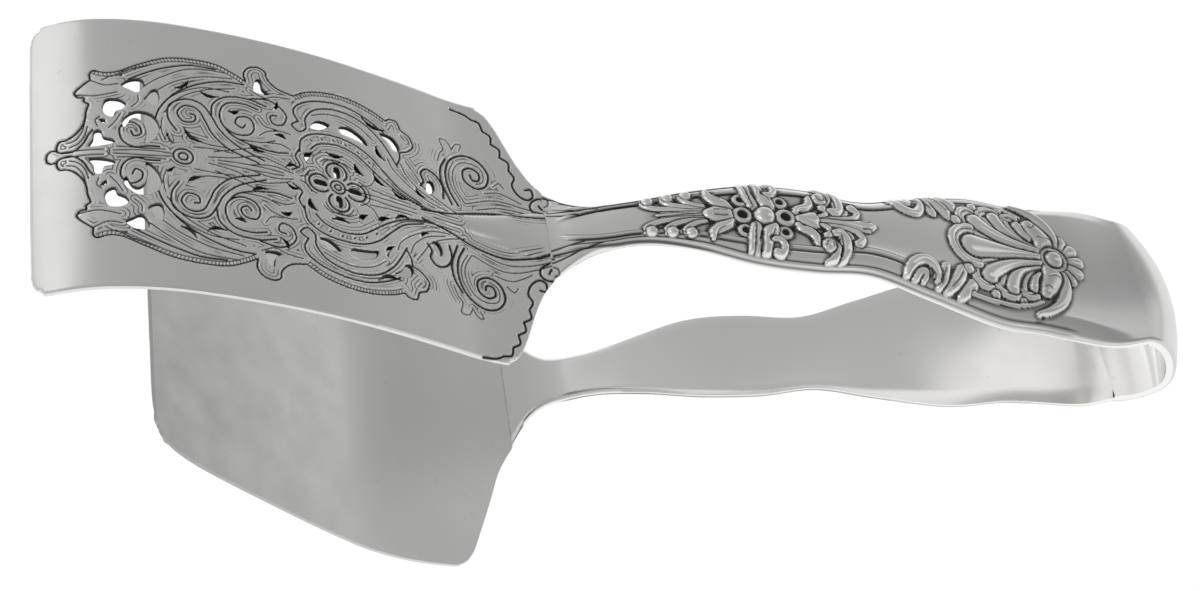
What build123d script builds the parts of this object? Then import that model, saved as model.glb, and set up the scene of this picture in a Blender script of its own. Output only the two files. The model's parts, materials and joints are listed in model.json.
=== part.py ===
from build123d import *
import math
import os

# Asparagus tongs: two arms on a spring bow. The upper arm ends in a pierced plate,
# the lower one in a wider plain plate. Millimetres and degrees, +Z up, the closed
# end towards +X and the plates towards -X, lying on the lower arm.

# Spring bow
bow_inner_radius = 7.3
bow_thickness = 1.8
bow_width = 26.6

# Handles, along the inner face from the bow to the joint with the plate
handle_length = 107.0
handle_thickness = 1.8
field_rise = 0.7
relief_height = 0.9
thread_height = 0.45
shell_width = 29.4
shoulder_waist_width = 27.2
shell_taper_width = 21.1
slim_waist_width = 15.6
lobe_width = 17.2
lobe_end_width = 16.4
neck_taper_width = 11.7
neck_width = 8.5

# Upper plate
upper_plate_length = 85.2
upper_plate_width = 53.4
upper_plate_thickness = 1.2
upper_shoulder_length = 9.6
upper_corner_radius = 5.5
upper_root_width = 19.2

# Lower plate
lower_plate_length = 75.5
lower_plate_width = 77.6
lower_plate_thickness = 1.2
lower_shoulder_length = 10.6
lower_corner_radius = 5.0
lower_root_width = 29.6

# Shared allowances
overrun = 6.0
sink = 0.3
corner_reach = 0.1

# Side profiles: share of a piece's length, and there the heading in degrees away from
# the plane halfway between the arms.
upper_handle_bend_shares = (
    (0.000, 1.7),
    (0.039, 2.5),
    (0.134, 5.7),
    (0.282, 12.0),
    (0.451, 9.8),
    (0.620, 4.4),
    (0.747, 3.1),
    (0.820, -8.3),
    (0.894, -19.5),
    (0.968, -18.2),
    (1.000, -9.0),
)
upper_plate_bend_shares = (
    (0.0, -9.0),
    (0.06, 4.8),
    (0.20, 22.5),
    (0.38, 19.6),
    (0.55, 13.4),
    (0.73, 7.3),
    (0.87, -6.1),
    (1.0, -32.0),
)
lower_handle_bend_shares = (
    (0.000, 1.7),
    (0.039, 2.5),
    (0.134, 5.7),
    (0.282, 12.0),
    (0.451, 9.8),
    (0.620, 5.6),
    (0.747, 17.4),
    (0.820, 21.8),
    (0.894, 22.3),
    (0.968, -0.5),
    (1.000, -2.0),
)
lower_plate_bend_shares = (
    (0.0, -2.0),
    (0.07, -3.2),
    (0.23, -12.0),
    (0.42, -34.0),
    (0.62, -37.0),
    (0.82, -39.0),
    (1.0, -50.0),
)

# Handle outline: share of the handle's length, and the width there
handle_outline_shares = (0.0, 0.07, 0.19, 0.28, 0.40, 0.49, 0.59, 0.68, 0.78, 0.85, 0.92)
handle_outline_widths = (
    bow_width,
    shell_width,
    shoulder_waist_width,
    shoulder_waist_width,
    shell_taper_width,
    slim_waist_width,
    lobe_width,
    lobe_end_width,
    neck_taper_width,
    neck_width,
    neck_width,
)

# Relief on the handles' outer faces
border_inset = 2.9
thread_inset = 0.5
thread_width = 0.8
hinge_place_share = 0.143
hinge_bead_radius = 1.9
flute_start = 4.2
flute_length = 18.0
flute_angles = (-62, -44, -24, 0, 24, 44, 62)
flute_length_shares = (0.62, 0.76, 0.91, 1.0, 0.91, 0.76, 0.62)
flute_spread_share = 0.28
crown_start = 3.4
crown_length = 5.6
crown_angles = (120, 150, 180, 210, 240)
crown_spread_share = 0.44
scroll_radius = 1.9
scroll_reach = 6.6
boss_place_share = 0.673
boss_radius = 1.7
flower_petal_radius = 1.15
flower_ring_radius = 3.4
flower_petal_count = 8
tulip_reach = 9.0
tulip_start = 1.4
tulip_length = 3.2
tulip_angles = (-38, 0, 38)
tulip_spread_share = 0.55
bead_reaches = (11.2, 13.6, 16.0)
bead_radius = 0.8

# Pierced scroll work in the upper plate: the share of its length and of its half width
# at each opening, then the opening's length and width as shares of the longest opening's
# length, and its turn in degrees
longest_opening = 6.0
opening_shares = (
    (0.875, 0.08, 0.53, 0.37, 30),
    (0.85, 0.31, 0.60, 0.47, 70),
    (0.79, 0.15, 1.00, 0.43, 65),
    (0.8, 0.46, 0.67, 0.37, 20),
    (0.74, 0.38, 0.53, 0.18, 50),
    (0.68, 0.24, 0.70, 0.18, 120),
    (0.66, 0.44, 0.73, 0.17, 10),
    (0.6, 0.17, 0.67, 0.17, 35),
    (0.59, 0.6, 0.50, 0.33, 80),
    (0.54, 0.3, 0.53, 0.17, 60),
    (0.47, 0.41, 0.57, 0.27, 20),
    (0.405, 0.4, 0.60, 0.22, -25),
    (0.33, 0.46, 0.57, 0.30, 60),
    (0.35, 0.3, 0.57, 0.17, 45),
    (0.29, 0.15, 0.83, 0.15, -20),
    (0.245, 0.2, 0.47, 0.25, 75),
    (0.52, 0.1, 0.43, 0.15, 60),
    (0.38, 0.13, 0.43, 0.15, 100),
)
rosette_place_share = 0.45
rosette_slot_radius = 2.7
rosette_slot_length = 2.0
rosette_slot_width = 1.0
rosette_slot_count = 4


def walk(bends, length):
    """The tangent arcs of a side profile, as (start share, heading, length, turn)."""
    runs = []
    for (share_a, head_a), (share_b, head_b) in zip(bends, bends[1:]):
        runs.append((share_a * length, head_a, (share_b - share_a) * length, head_b - head_a))
    return runs


def step(point, heading, length, turn):
    """The end of one arc or straight run."""
    middle = math.radians(heading + turn / 2)
    half = math.radians(turn / 2)
    chord = length if turn == 0 else length * math.sin(half) / half
    return (point[0] + chord * math.cos(middle), point[1] + chord * math.sin(middle))


class Arm:
    """An arm's inner face seen from the side, from the bow to the tip."""

    def __init__(self, side, handle_bends, plate_bends, plate_length):
        self.side = side
        first = math.radians(handle_bends[0][1])
        self.start = (-bow_inner_radius * math.sin(first), bow_inner_radius * math.cos(first))
        self.runs = walk(handle_bends, handle_length)
        for place, heading, length, turn in walk(plate_bends, plate_length):
            self.runs.append((place + handle_length, heading, length, turn))
        self.length = handle_length + plate_length

    def inner(self, place):
        """Distance from the bow, height and heading at a place along the inner face."""
        point = self.start
        for start, heading, length, turn in self.runs:
            done = min(max(place - start, 0), length)
            if place <= start + length or start + length >= self.length:
                share = done / length
                return (*step(point, heading, done, turn * share), heading + turn * share)
            point = step(point, heading, length, turn)

    def at(self, place, depth):
        """A point of the side profile, depth outwards from the inner face."""
        away, height, heading = self.inner(place)
        lean = math.radians(heading)
        away -= depth * math.sin(lean)
        height += depth * math.cos(lean)
        return Vector(-away, 0, self.side * height)

    def edge_of(self, start, end, depth):
        """The profile between two places as tangent arcs."""
        stops = [start]
        stops += [run[0] for run in self.runs if start < run[0] < end]
        stops.append(end)
        pieces = []
        for low, high in zip(stops, stops[1:]):
            middle = (low + high) / 2
            pieces.append(ThreePointArc(self.at(low, depth), self.at(middle, depth), self.at(high, depth)))
        return pieces

    def band(self, start, end, low, high, width):
        """A curved slab between two places and two depths, right across the arm."""
        outline = self.edge_of(start, end, low)
        outline += self.edge_of(start, end, high)
        outline.append(Line(self.at(start, low), self.at(start, high)))
        outline.append(Line(self.at(end, low), self.at(end, high)))
        face = make_face(outline)
        return extrude(face, amount=width / 2 + overrun, dir=(0, 1, 0), both=True)

    def plan(self, place, across):
        """A place on the arm as a point of the plan view."""
        return (-self.inner(place)[0], across)


upper = Arm(1, upper_handle_bend_shares, upper_plate_bend_shares, upper_plate_length)
lower = Arm(-1, lower_handle_bend_shares, lower_plate_bend_shares, lower_plate_length)
high_reach = upper.length


def prism(face):
    """A plan outline carried through the whole height of the tongs."""
    return extrude(face, amount=high_reach, dir=(0, 0, 1), both=True)


def side_line(arm, inset, root_width):
    """Points of a handle's edge, inset from the outline."""
    points = []
    for share, width in zip(handle_outline_shares, handle_outline_widths):
        points.append(arm.plan(share * handle_length, width / 2 - inset))
    points.append(arm.plan(handle_length, root_width / 2 - inset))
    return points


def handle_face(arm, inset, root_width):
    """The handle's outline in plan, drawn in by an inset."""
    near = side_line(arm, inset, root_width)
    far = [(x, -y) for x, y in near]
    return make_face([
        Spline(*near),
        Line(near[-1], far[-1]),
        Spline(*far[::-1]),
        Line(far[0], near[0]),
    ])


def drop(centre, angle, near, far, spread_share):
    """A teardrop that points away from a centre and widens with the distance from it."""
    root_radius = near * spread_share / 2
    tip_radius = far * spread_share / 2
    lean = math.asin((tip_radius - root_radius) / (far - near))
    start = (near - root_radius * math.sin(lean), root_radius * math.cos(lean))
    end = (far - tip_radius * math.sin(lean), tip_radius * math.cos(lean))
    face = make_face([
        Line(start, end),
        ThreePointArc(end, (far + tip_radius, 0), (end[0], -end[1])),
        Line((end[0], -end[1]), (start[0], -start[1])),
        ThreePointArc((start[0], -start[1]), (near - root_radius, 0), start),
    ])
    return Location((*centre, 0), (0, 0, 180 - angle)) * face


def shell_faces(arm):
    """The fan shell with its hinge bead, crown petals and side scrolls."""
    hinge = arm.plan(hinge_place_share * handle_length, 0)
    faces = [Location(hinge) * Circle(hinge_bead_radius)]
    for angle, share in zip(flute_angles, flute_length_shares):
        faces.append(drop(hinge, angle, flute_start, flute_length * share, flute_spread_share))
    for angle in crown_angles:
        faces.append(drop(hinge, angle, crown_start, crown_length, crown_spread_share))
    for side in (-1, 1):
        faces.append(Location((hinge[0], side * scroll_reach)) * Circle(scroll_radius))
    return faces


def flower_faces(arm):
    """The round flower with a tulip and a row of beads on both sides."""
    centre = arm.plan(boss_place_share * handle_length, 0)
    faces = [Location(centre) * Circle(boss_radius)]
    for index in range(flower_petal_count):
        turn = 2 * math.pi * (index + 1 / 2) / flower_petal_count
        across = flower_ring_radius * math.sin(turn)
        petal = (centre[0] + flower_ring_radius * math.cos(turn), across)
        faces.append(Location(petal) * Circle(flower_petal_radius))
    for way in (-1, 1):
        root = (centre[0] + way * tulip_reach, 0)
        towards = 90 + way * 90
        for angle in tulip_angles:
            faces.append(drop(root, 180 - towards + angle, tulip_start, tulip_length, tulip_spread_share))
        for reach in bead_reaches:
            faces.append(Location((centre[0] + way * reach, 0)) * Circle(bead_radius))
    return faces


def thread_faces(arm, root_width):
    """The two raised threads that follow the handle's edges."""
    rings = []
    for inset in (thread_inset, border_inset):
        outside = handle_face(arm, inset, root_width)
        rings.append(outside - handle_face(arm, inset + thread_width, root_width))
    return rings


def handle(arm, root_width):
    """A die-struck handle: edge, raised field, threads, shell and flower."""
    edge = handle_face(arm, 0, root_width)
    solid = arm.band(0, handle_length, 0, handle_thickness, shell_width) & prism(edge)
    field_top = handle_thickness + field_rise
    field = handle_face(arm, border_inset + thread_width / 2, root_width)
    layers = (
        ([field], field_top),
        (thread_faces(arm, root_width), handle_thickness + thread_height),
        (shell_faces(arm) + flower_faces(arm), field_top + relief_height),
    )
    raised = []
    for faces, top in layers:
        slab = arm.band(0, handle_length, handle_thickness - sink, top, shell_width)
        raised += [slab & prism(face) for face in faces]
    return solid.fuse(*raised)


def bow():
    """The U-shaped spring band that joins the two handles."""
    first = upper.inner(0)[2]
    outer_radius = bow_inner_radius + bow_thickness
    ring = []
    for radius in (bow_inner_radius, outer_radius):
        lean = math.radians(first)
        top = Vector(radius * math.sin(lean), 0, radius * math.cos(lean))
        ring.append(ThreePointArc(top, Vector(radius, 0, 0), Vector(top.X, 0, -top.Z)))
    ends = [Line(ring[0] @ 0, ring[1] @ 0), Line(ring[0] @ 1, ring[1] @ 1)]
    return extrude(make_face(ring + ends), amount=bow_width / 2, dir=(0, 1, 0), both=True)


def plate_face(arm, root_width, shoulder_length, width, corner_radius):
    """A plate's outline in plan: flared shoulders, straight sides and round corners."""
    half_root = root_width / 2
    half = width / 2
    root = arm.plan(handle_length, half_root)
    shoulder = arm.plan(handle_length + shoulder_length, half)
    tip = arm.plan(arm.length, half)
    beyond = (tip[0] - overrun, half)
    points = [root, shoulder, beyond]
    mirrored = [(x, -y) for x, y in points[::-1]]
    outline = Polyline(*points, *mirrored, close=True)
    face = make_face(outline)
    shoulders = face.vertices().filter_by(lambda v: abs(v.X - shoulder[0]) < corner_reach)
    return fillet(shoulders, corner_radius)


def tip_corners(arm, width, radius):
    """What the round tip corners take off the plate."""
    half = width / 2
    tip = arm.plan(arm.length, half)
    cuts = []
    for side in (-1, 1):
        centre = (tip[0] + radius, side * (half - radius))
        square = Location((tip[0], side * half)) * Rectangle(2 * radius, 2 * radius)
        cuts.append(square - Location(centre) * Circle(radius))
    return cuts


def plate(arm, root_width, shoulder_length, width, thickness, corner_radius):
    """A thin curved plate with rounded corners."""
    face = plate_face(arm, root_width, shoulder_length, width, corner_radius)
    for cut in tip_corners(arm, width, corner_radius):
        face -= cut
    slab = arm.band(handle_length, arm.length, 0, thickness, width)
    return slab & prism(face)


def opening_faces(arm):
    """The pierced openings, alike on both sides of the plate's middle line."""
    faces = []
    half = upper_plate_width / 2
    for along, across, length, width, turn in opening_shares:
        slot = SlotOverall(length * longest_opening, width * longest_opening)
        for side in (-1, 1):
            place = arm.plan(handle_length + along * upper_plate_length, side * across * half)
            faces.append(Location((*place, 0), (0, 0, side * turn)) * slot)
    centre = arm.plan(handle_length + rosette_place_share * upper_plate_length, 0)
    for index in range(rosette_slot_count):
        angle = index * 360 / rosette_slot_count
        slot = Location((rosette_slot_radius, 0)) * SlotOverall(rosette_slot_length, rosette_slot_width)
        faces.append(Location((*centre, 0), (0, 0, angle)) * slot)
    return faces


def pierced_plate():
    """The upper plate with its openings cut through."""
    solid = plate(
        upper,
        upper_root_width,
        upper_shoulder_length,
        upper_plate_width,
        upper_plate_thickness,
        upper_corner_radius,
    )
    return solid.cut(*[prism(face) for face in opening_faces(upper)])


def plain_plate():
    """The wider plain lower plate."""
    return plate(
        lower,
        lower_root_width,
        lower_shoulder_length,
        lower_plate_width,
        lower_plate_thickness,
        lower_corner_radius,
    )


def lying_angle():
    """The turn that sets the bow and the lower arm's lowest bend on one plane."""
    best = 0
    outer_radius = bow_inner_radius + bow_thickness
    samples = 200
    for index in range(samples + 1):
        place = lower.length * index / samples
        thickness = handle_thickness + field_rise if place < handle_length else lower_plate_thickness
        point = lower.at(place, thickness)
        reach = math.hypot(point.X, point.Z)
        if reach > 2 * outer_radius:
            dip = math.atan2(-point.Z, -point.X) - math.asin(outer_radius / reach)
            best = max(best, dip)
    return math.degrees(best)


pieces = {
    "bow_spring": bow(),
    "upper_handle": handle(upper, upper_root_width),
    "upper_blade": pierced_plate(),
    "lower_handle": handle(lower, lower_root_width),
    "lower_blade": plain_plate(),
}

# Laid down on the lower arm, with the origin under the middle of the tongs
turned = {name: Rotation(0, lying_angle(), 0) * solid for name, solid in pieces.items()}
box = Compound(list(turned.values())).bounding_box()
shift = Location((-box.center().X, 0, -box.min.Z))

os.makedirs("parts", exist_ok=True)
for name, solid in turned.items():
    export_step(shift * solid, f"parts/{name}.step")

print("lying angle", round(lying_angle(), 3))
print("overall", [round(value, 2) for value in box.size])
print("bow axis x", round(shift.position.X, 3), "z", round(shift.position.Z, 3))
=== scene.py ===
import json
import math

import bpy
import numpy as np
from mathutils import Matrix, Vector


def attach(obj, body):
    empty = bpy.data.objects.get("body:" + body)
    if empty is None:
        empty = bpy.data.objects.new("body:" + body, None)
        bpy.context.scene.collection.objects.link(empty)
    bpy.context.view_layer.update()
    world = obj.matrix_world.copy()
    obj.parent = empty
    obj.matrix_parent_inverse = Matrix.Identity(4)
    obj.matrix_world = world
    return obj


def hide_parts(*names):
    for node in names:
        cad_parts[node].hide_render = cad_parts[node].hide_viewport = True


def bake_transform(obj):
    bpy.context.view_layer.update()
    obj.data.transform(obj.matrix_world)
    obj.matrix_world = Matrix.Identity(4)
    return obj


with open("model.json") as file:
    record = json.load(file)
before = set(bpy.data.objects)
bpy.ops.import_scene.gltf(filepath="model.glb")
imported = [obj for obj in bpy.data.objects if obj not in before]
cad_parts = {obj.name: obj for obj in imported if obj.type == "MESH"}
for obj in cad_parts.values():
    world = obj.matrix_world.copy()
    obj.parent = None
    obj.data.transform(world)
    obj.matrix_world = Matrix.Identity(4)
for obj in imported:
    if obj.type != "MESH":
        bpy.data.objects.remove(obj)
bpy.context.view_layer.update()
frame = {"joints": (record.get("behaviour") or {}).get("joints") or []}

# The side profile of the tongs, as in the part's source: millimetres along the inner
# face from the bow, and headings in degrees away from the plane between the arms.
MM = 0.001
LYING = math.radians(11.149)
AXIS = [c / MM for c in frame["joints"][0]["pos_m"]]
BOW_RADIUS, BOW_THICK, BOW_WIDTH = 7.3, 1.8, 26.6
BOW_END, HANDLE = 6.0, 107.0
JOINT = BOW_END + HANDLE
UPPER_LONG, LOWER_LONG = 85.2, 75.5
UPPER_HANDLE = ((0, 1.7), (.039, 2.5), (.134, 5.7), (.282, 12), (.451, 9.8), (.620, 4.4), (.747, 3.1),
                (.820, -8.3), (.894, -19.5), (.968, -18.2), (1, -9))
UPPER_PLATE = ((0, -9), (.06, 4.8), (.20, 22.5), (.38, 19.6), (.55, 13.4), (.73, 7.3), (.87, -6.1), (1, -32))
LOWER_HANDLE = ((0, 1.7), (.039, 2.5), (.134, 5.7), (.282, 12), (.451, 9.8), (.620, 5.6), (.747, 17.4),
                (.820, 21.8), (.894, 22.3), (.968, -.5), (1, -2))
LOWER_PLATE = ((0, -2), (.07, -3.2), (.23, -12), (.42, -34), (.62, -37), (.82, -39), (1, -50))
# The upper plate's middle line, and where its engraved face is parted in two pieces
MIDLINE, PARTING = -0.9, 156.0
PLATE_THICK, PLATE_ROUND, EDGE_ROUND = 1.2, 0.45, 0.55  # with the roundings of the plates' and other edges
RIM_THINNED, RIM_WIDE = 0.5, 1.8  # how far the plates thin out along their rims
INNER_EDGE = 0.4  # how far the edges of the handles' and the bow's inner faces are lifted
NECK_END, NECK_RISE, NECK_CROWN = 104.0, 1.35, 0.6
DISH, LOW_DISH, INNER_HOLLOW = 1.4, 0.2, 0.9  # the hollows of the arms' faces
CROWN, LOW_CROWN, NECK_MARK = 1.75, 0.8, 0.13
HATCH, HATCH_REACH = 0.62, 2.4  # the hatching's spacing, and how far off a line it can lie
FAR, NO_STROKE = 9.0, 3.0  # no edge or line is near, and no hatching
EDGE_SNAP, LINE_SNAP = 0.52, 0.5  # in grid steps
FULL_CUT = 0.16  # a cut of this depth is quite dark


def summed(steps):
    """The running sum of steps, from 0."""
    return np.concatenate([[0], np.cumsum(steps)])


def smooth_step(x):
    """A soft passage from 0 to 1."""
    x = np.clip(x, 0, 1)
    return x * x * (3 - 2 * x)


class Arm:
    """An arm's inner face: maps a place along it, across it and off it to the frame."""

    def __init__(self, side, handle, plate, plate_long):
        self.side = side
        self.s = np.arange(BOW_END, JOINT + plate_long + 0.05, 0.05)
        at = [BOW_END + a * HANDLE for a, _ in handle] + [JOINT + a * plate_long for a, _ in plate[1:]]
        head = [h for _, h in handle] + [h for _, h in plate[1:]]
        self.head = np.radians(np.interp(self.s, at, head))
        mid = (self.head[1:] + self.head[:-1]) / 2
        step = np.diff(self.s)
        first = self.head[0]
        self.away = -BOW_RADIUS * math.sin(first) + summed(step * np.cos(mid))
        self.up = BOW_RADIUS * math.cos(first) + summed(step * np.sin(mid))

    def place(self, s, y, d):
        """The frame's places for s along the arm, y across it and d off its inner face."""
        head = np.interp(s, self.s, self.head)
        x = -(np.interp(s, self.s, self.away) - d * np.sin(head))
        z = self.side * (np.interp(s, self.s, self.up) + d * np.cos(head))
        return row(x, y, z)


def row(x, y, z):
    """Millimetres in the plane of the bow to metres in the shared frame."""
    c, k = math.cos(LYING), math.sin(LYING)
    out = np.stack([x * c + z * k + AXIS[0], np.broadcast_to(y, np.shape(x)), -x * k + z * c + AXIS[2]], -1)
    return out * MM


upper = Arm(1, UPPER_HANDLE, UPPER_PLATE, UPPER_LONG)
lower = Arm(-1, LOWER_HANDLE, LOWER_PLATE, LOWER_LONG)


def smooth(points, step=0.35, closed=False):
    """A Catmull-Rom curve through given points, at even steps."""
    p = np.array(points, float)
    if len(p) == 2:
        return p
    before, after = (p[-1:], p[:2]) if closed else (2 * p[:1] - p[1:2], 2 * p[-1:] - p[-2:-1])
    ring = np.concatenate([before, p, after])
    out = []
    for a, b, c, d in zip(ring, ring[1:], ring[2:], ring[3:]):
        n = max(2, int(math.ceil(np.linalg.norm(c - b) / step)))
        t = (np.arange(n) / n)[:, None]
        out.append(0.5 * (2 * b + (c - a) * t + (2 * a - 5 * b + 4 * c - d) * t ** 2
                          + (3 * b - a - 3 * c + d) * t ** 3))
    if not closed:
        out.append(p[-1:])
    return np.concatenate(out)


def beside(path, off):
    """The same curve moved sideways."""
    t = np.gradient(path, axis=0)
    t /= np.maximum(np.linalg.norm(t, axis=1), 1e-9)[:, None]
    return path + off * np.stack([-t[:, 1], t[:, 0]], 1)


def arc(cx, cy, r, a0, a1, n=24):
    """Places on a circle, from one angle to another in degrees."""
    a = np.radians(np.linspace(a0, a1, n))
    return np.stack([cx + r * np.cos(a), cy + r * np.sin(a)], 1)


def toward(angle):
    """The direction of an angle in degrees."""
    return np.array([math.cos(math.radians(angle)), math.sin(math.radians(angle))])


def rounded(off_edge, radius):
    """How far a rounded edge lies under its face, by the distance from the edge."""
    into = np.clip(radius - off_edge, 0, radius)
    return radius - np.sqrt(np.maximum(radius ** 2 - into ** 2, 0))


def inside(px, py, poly):
    """Even-odd test of points against one closed outline."""
    hit = np.zeros(np.shape(px), bool)
    x0, y0 = poly.min(0)
    x1, y1 = poly.max(0)
    near = (px >= x0) & (px <= x1) & (py >= y0) & (py <= y1)
    qx, qy = px[near], py[near]
    odd = np.zeros(len(qx), bool)
    for (ax, ay), (bx, by) in zip(poly, np.roll(poly, -1, 0)):
        if ay == by:
            continue
        cross = (ay > qy) != (by > qy)
        odd ^= cross & (qx < (bx - ax) * (qy - ay) / (by - ay) + ax)
    hit[near] = odd
    return hit


class Ground:
    """A grid of places on a face, with heights, cuts and a record of the nearest line."""

    def __init__(self, s, y):
        self.s, self.y = s.copy(), y.copy()
        self.rows = s[:, 0]
        self.high = np.zeros(s.shape)
        self.cut = np.zeros(s.shape)
        self.near = np.full(s.shape, FAR)
        self.foot = np.zeros(s.shape + (2,))
        self.deep = np.zeros(s.shape)
        # Oxide in the cuts, and painted shadow round the raised forms
        self.dark = np.zeros(s.shape)
        self.stroke = np.full(s.shape, NO_STROKE)
        self.fuller = 1.08

    def runs(self, path, radii, whole_window=False):
        """For each straight run of a path: its window in the grid, with distances, radii and feet."""
        radii = np.broadcast_to(radii, len(path))
        for a, b, ra, rb in zip(path, path[1:], radii, radii[1:]):
            reach = max(ra, rb)
            i0 = np.searchsorted(self.rows, min(a[0], b[0]) - reach)
            i1 = np.searchsorted(self.rows, max(a[0], b[0]) + reach)
            if i1 <= i0:
                continue
            ys = self.y[i0:i1]
            cols = np.nonzero(((ys > min(a[1], b[1]) - reach) & (ys < max(a[1], b[1]) + reach)).any(0))[0]
            if not len(cols):
                continue
            if whole_window:
                cols = [max(cols[0] - 1, 0), cols[-1] + 1]
            win = (slice(i0, i1), slice(cols[0], cols[-1] + 1))
            ds, dy = self.s[win] - a[0], self.y[win] - a[1]
            e = b - a
            t = np.clip((ds * e[0] + dy * e[1]) / max(e @ e, 1e-12), 0, 1)
            yield win, np.hypot(ds - t * e[0], dy - t * e[1]), ra + t * (rb - ra), a, e, t

    def form(self, points, radii, height, ring=0.32, lift=0.12):
        """A raised rounded form with a sunk outline painted dark as its shadow, laid over what is there."""
        path = spots(points)
        radii = np.broadcast_to(radii, len(path)).astype(float) * self.fuller
        if len(path) > 2:
            at = summed(np.hypot(*np.diff(path, axis=0).T))
            path = smooth(path, 0.3)
            along = summed(np.hypot(*np.diff(path, axis=0).T))
            radii = np.interp(along / along[-1], at / at[-1], radii)
        elif len(path) == 1:
            path = np.concatenate([path, path + [0.01, 0]])
            radii = np.repeat(radii, 2)
        share = np.full(self.s.shape, FAR)
        gap = np.full(self.s.shape, FAR)
        for win, d, r, *_ in self.runs(path, radii + ring, True):
            r = r - ring
            share[win] = np.minimum(share[win], d / r)
            gap[win] = np.minimum(gap[win], d - r)
        body = gap < 0
        around = (gap >= 0) & (gap < ring)
        fade = 1 - gap[around] / ring
        self.high[around] *= 1 - fade
        # Painted shadow in the sunk ring round the form
        self.dark[around] = np.maximum(self.dark[around], fade ** 0.6)
        self.high[body] = lift + height * np.sqrt(1 - share[body] ** 2)
        # Painted shade at the foot: the outer seventh of a form darkens toward its outline
        self.dark[body] = np.clip((share[body] - 0.86) / 0.14, 0, 1) * 0.5

    def groove(self, points, radii, depth):
        """A soft dark line pressed into the forms."""
        path = smooth(points, 0.3)
        for win, d, r, *_ in self.runs(path, radii):
            k = np.clip(1 - (d / r) ** 2, 0, 1)
            self.cut[win] = np.maximum(self.cut[win], depth * k)
            self.dark[win] = np.maximum(self.dark[win], 0.8 * k)

    def line(self, path, width, depth):
        """An engraved line, to which the grid's own points move."""
        for win, d, *_ in self.runs(path, HATCH_REACH):
            self.stroke[win] = np.minimum(self.stroke[win], d)
        for win, d, _, a, e, t in self.runs(path, max(width, 0.6)):
            self.cut[win] = np.maximum(self.cut[win], depth * np.clip(1 - d / width, 0, 1))
            closer = d < self.near[win]
            self.near[win][closer] = d[closer]
            self.deep[win][closer] = depth
            self.foot[win][closer] = (a + t[..., None] * e)[closer]

    def settle(self, reach, free):
        """Moves the grid's points onto the lines that pass near them."""
        on = (self.near < reach) & free
        self.s[on] = self.foot[on][:, 0]
        self.y[on] = self.foot[on][:, 1]
        self.cut[on] = np.maximum(self.cut[on], self.deep[on])


def linked(name, data):
    """A new object with this data, in the scene."""
    made = bpy.data.objects.new(name, data)
    bpy.context.scene.collection.objects.link(made)
    return made


def make_mesh(name, points, faces, patina_and_shade, stroke, sharp):
    """A smooth-shaded piece from its points and lists of faces, sharp beyond an angle in degrees."""
    mesh = bpy.data.meshes.new(name)
    mesh.vertices.add(len(points))
    mesh.vertices.foreach_set("co", points.ravel())
    sizes = np.concatenate([np.full(len(f), f.shape[1]) for f in faces])
    mesh.loops.add(int(sizes.sum()))
    mesh.loops.foreach_set("vertex_index", np.concatenate([f.ravel() for f in faces]).astype(np.int32))
    mesh.polygons.add(len(sizes))
    mesh.polygons.foreach_set("loop_start", summed(sizes[:-1]).astype(np.int32))
    mesh.polygons.foreach_set("loop_total", sizes.astype(np.int32))
    mesh.update(calc_edges=True)
    # The dark attribute holds oxide in the cuts and painted shade round the relief
    for key, values in (("patina_and_shade", patina_and_shade), ("stroke", stroke)):
        mesh.attributes.new(key, "FLOAT", "POINT").data.foreach_set("value", values.astype(np.float32))
    mesh.polygons.foreach_set("use_smooth", np.ones(len(sizes), bool))
    mesh.set_sharp_from_angle(angle=math.radians(sharp))
    return linked(name, mesh)


def corners(index):
    """The four corners of every cell of a grid of numbers, in turn."""
    return [k.ravel() for k in (index[:-1, :-1], index[1:, :-1], index[1:, 1:], index[:-1, 1:])]


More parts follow.
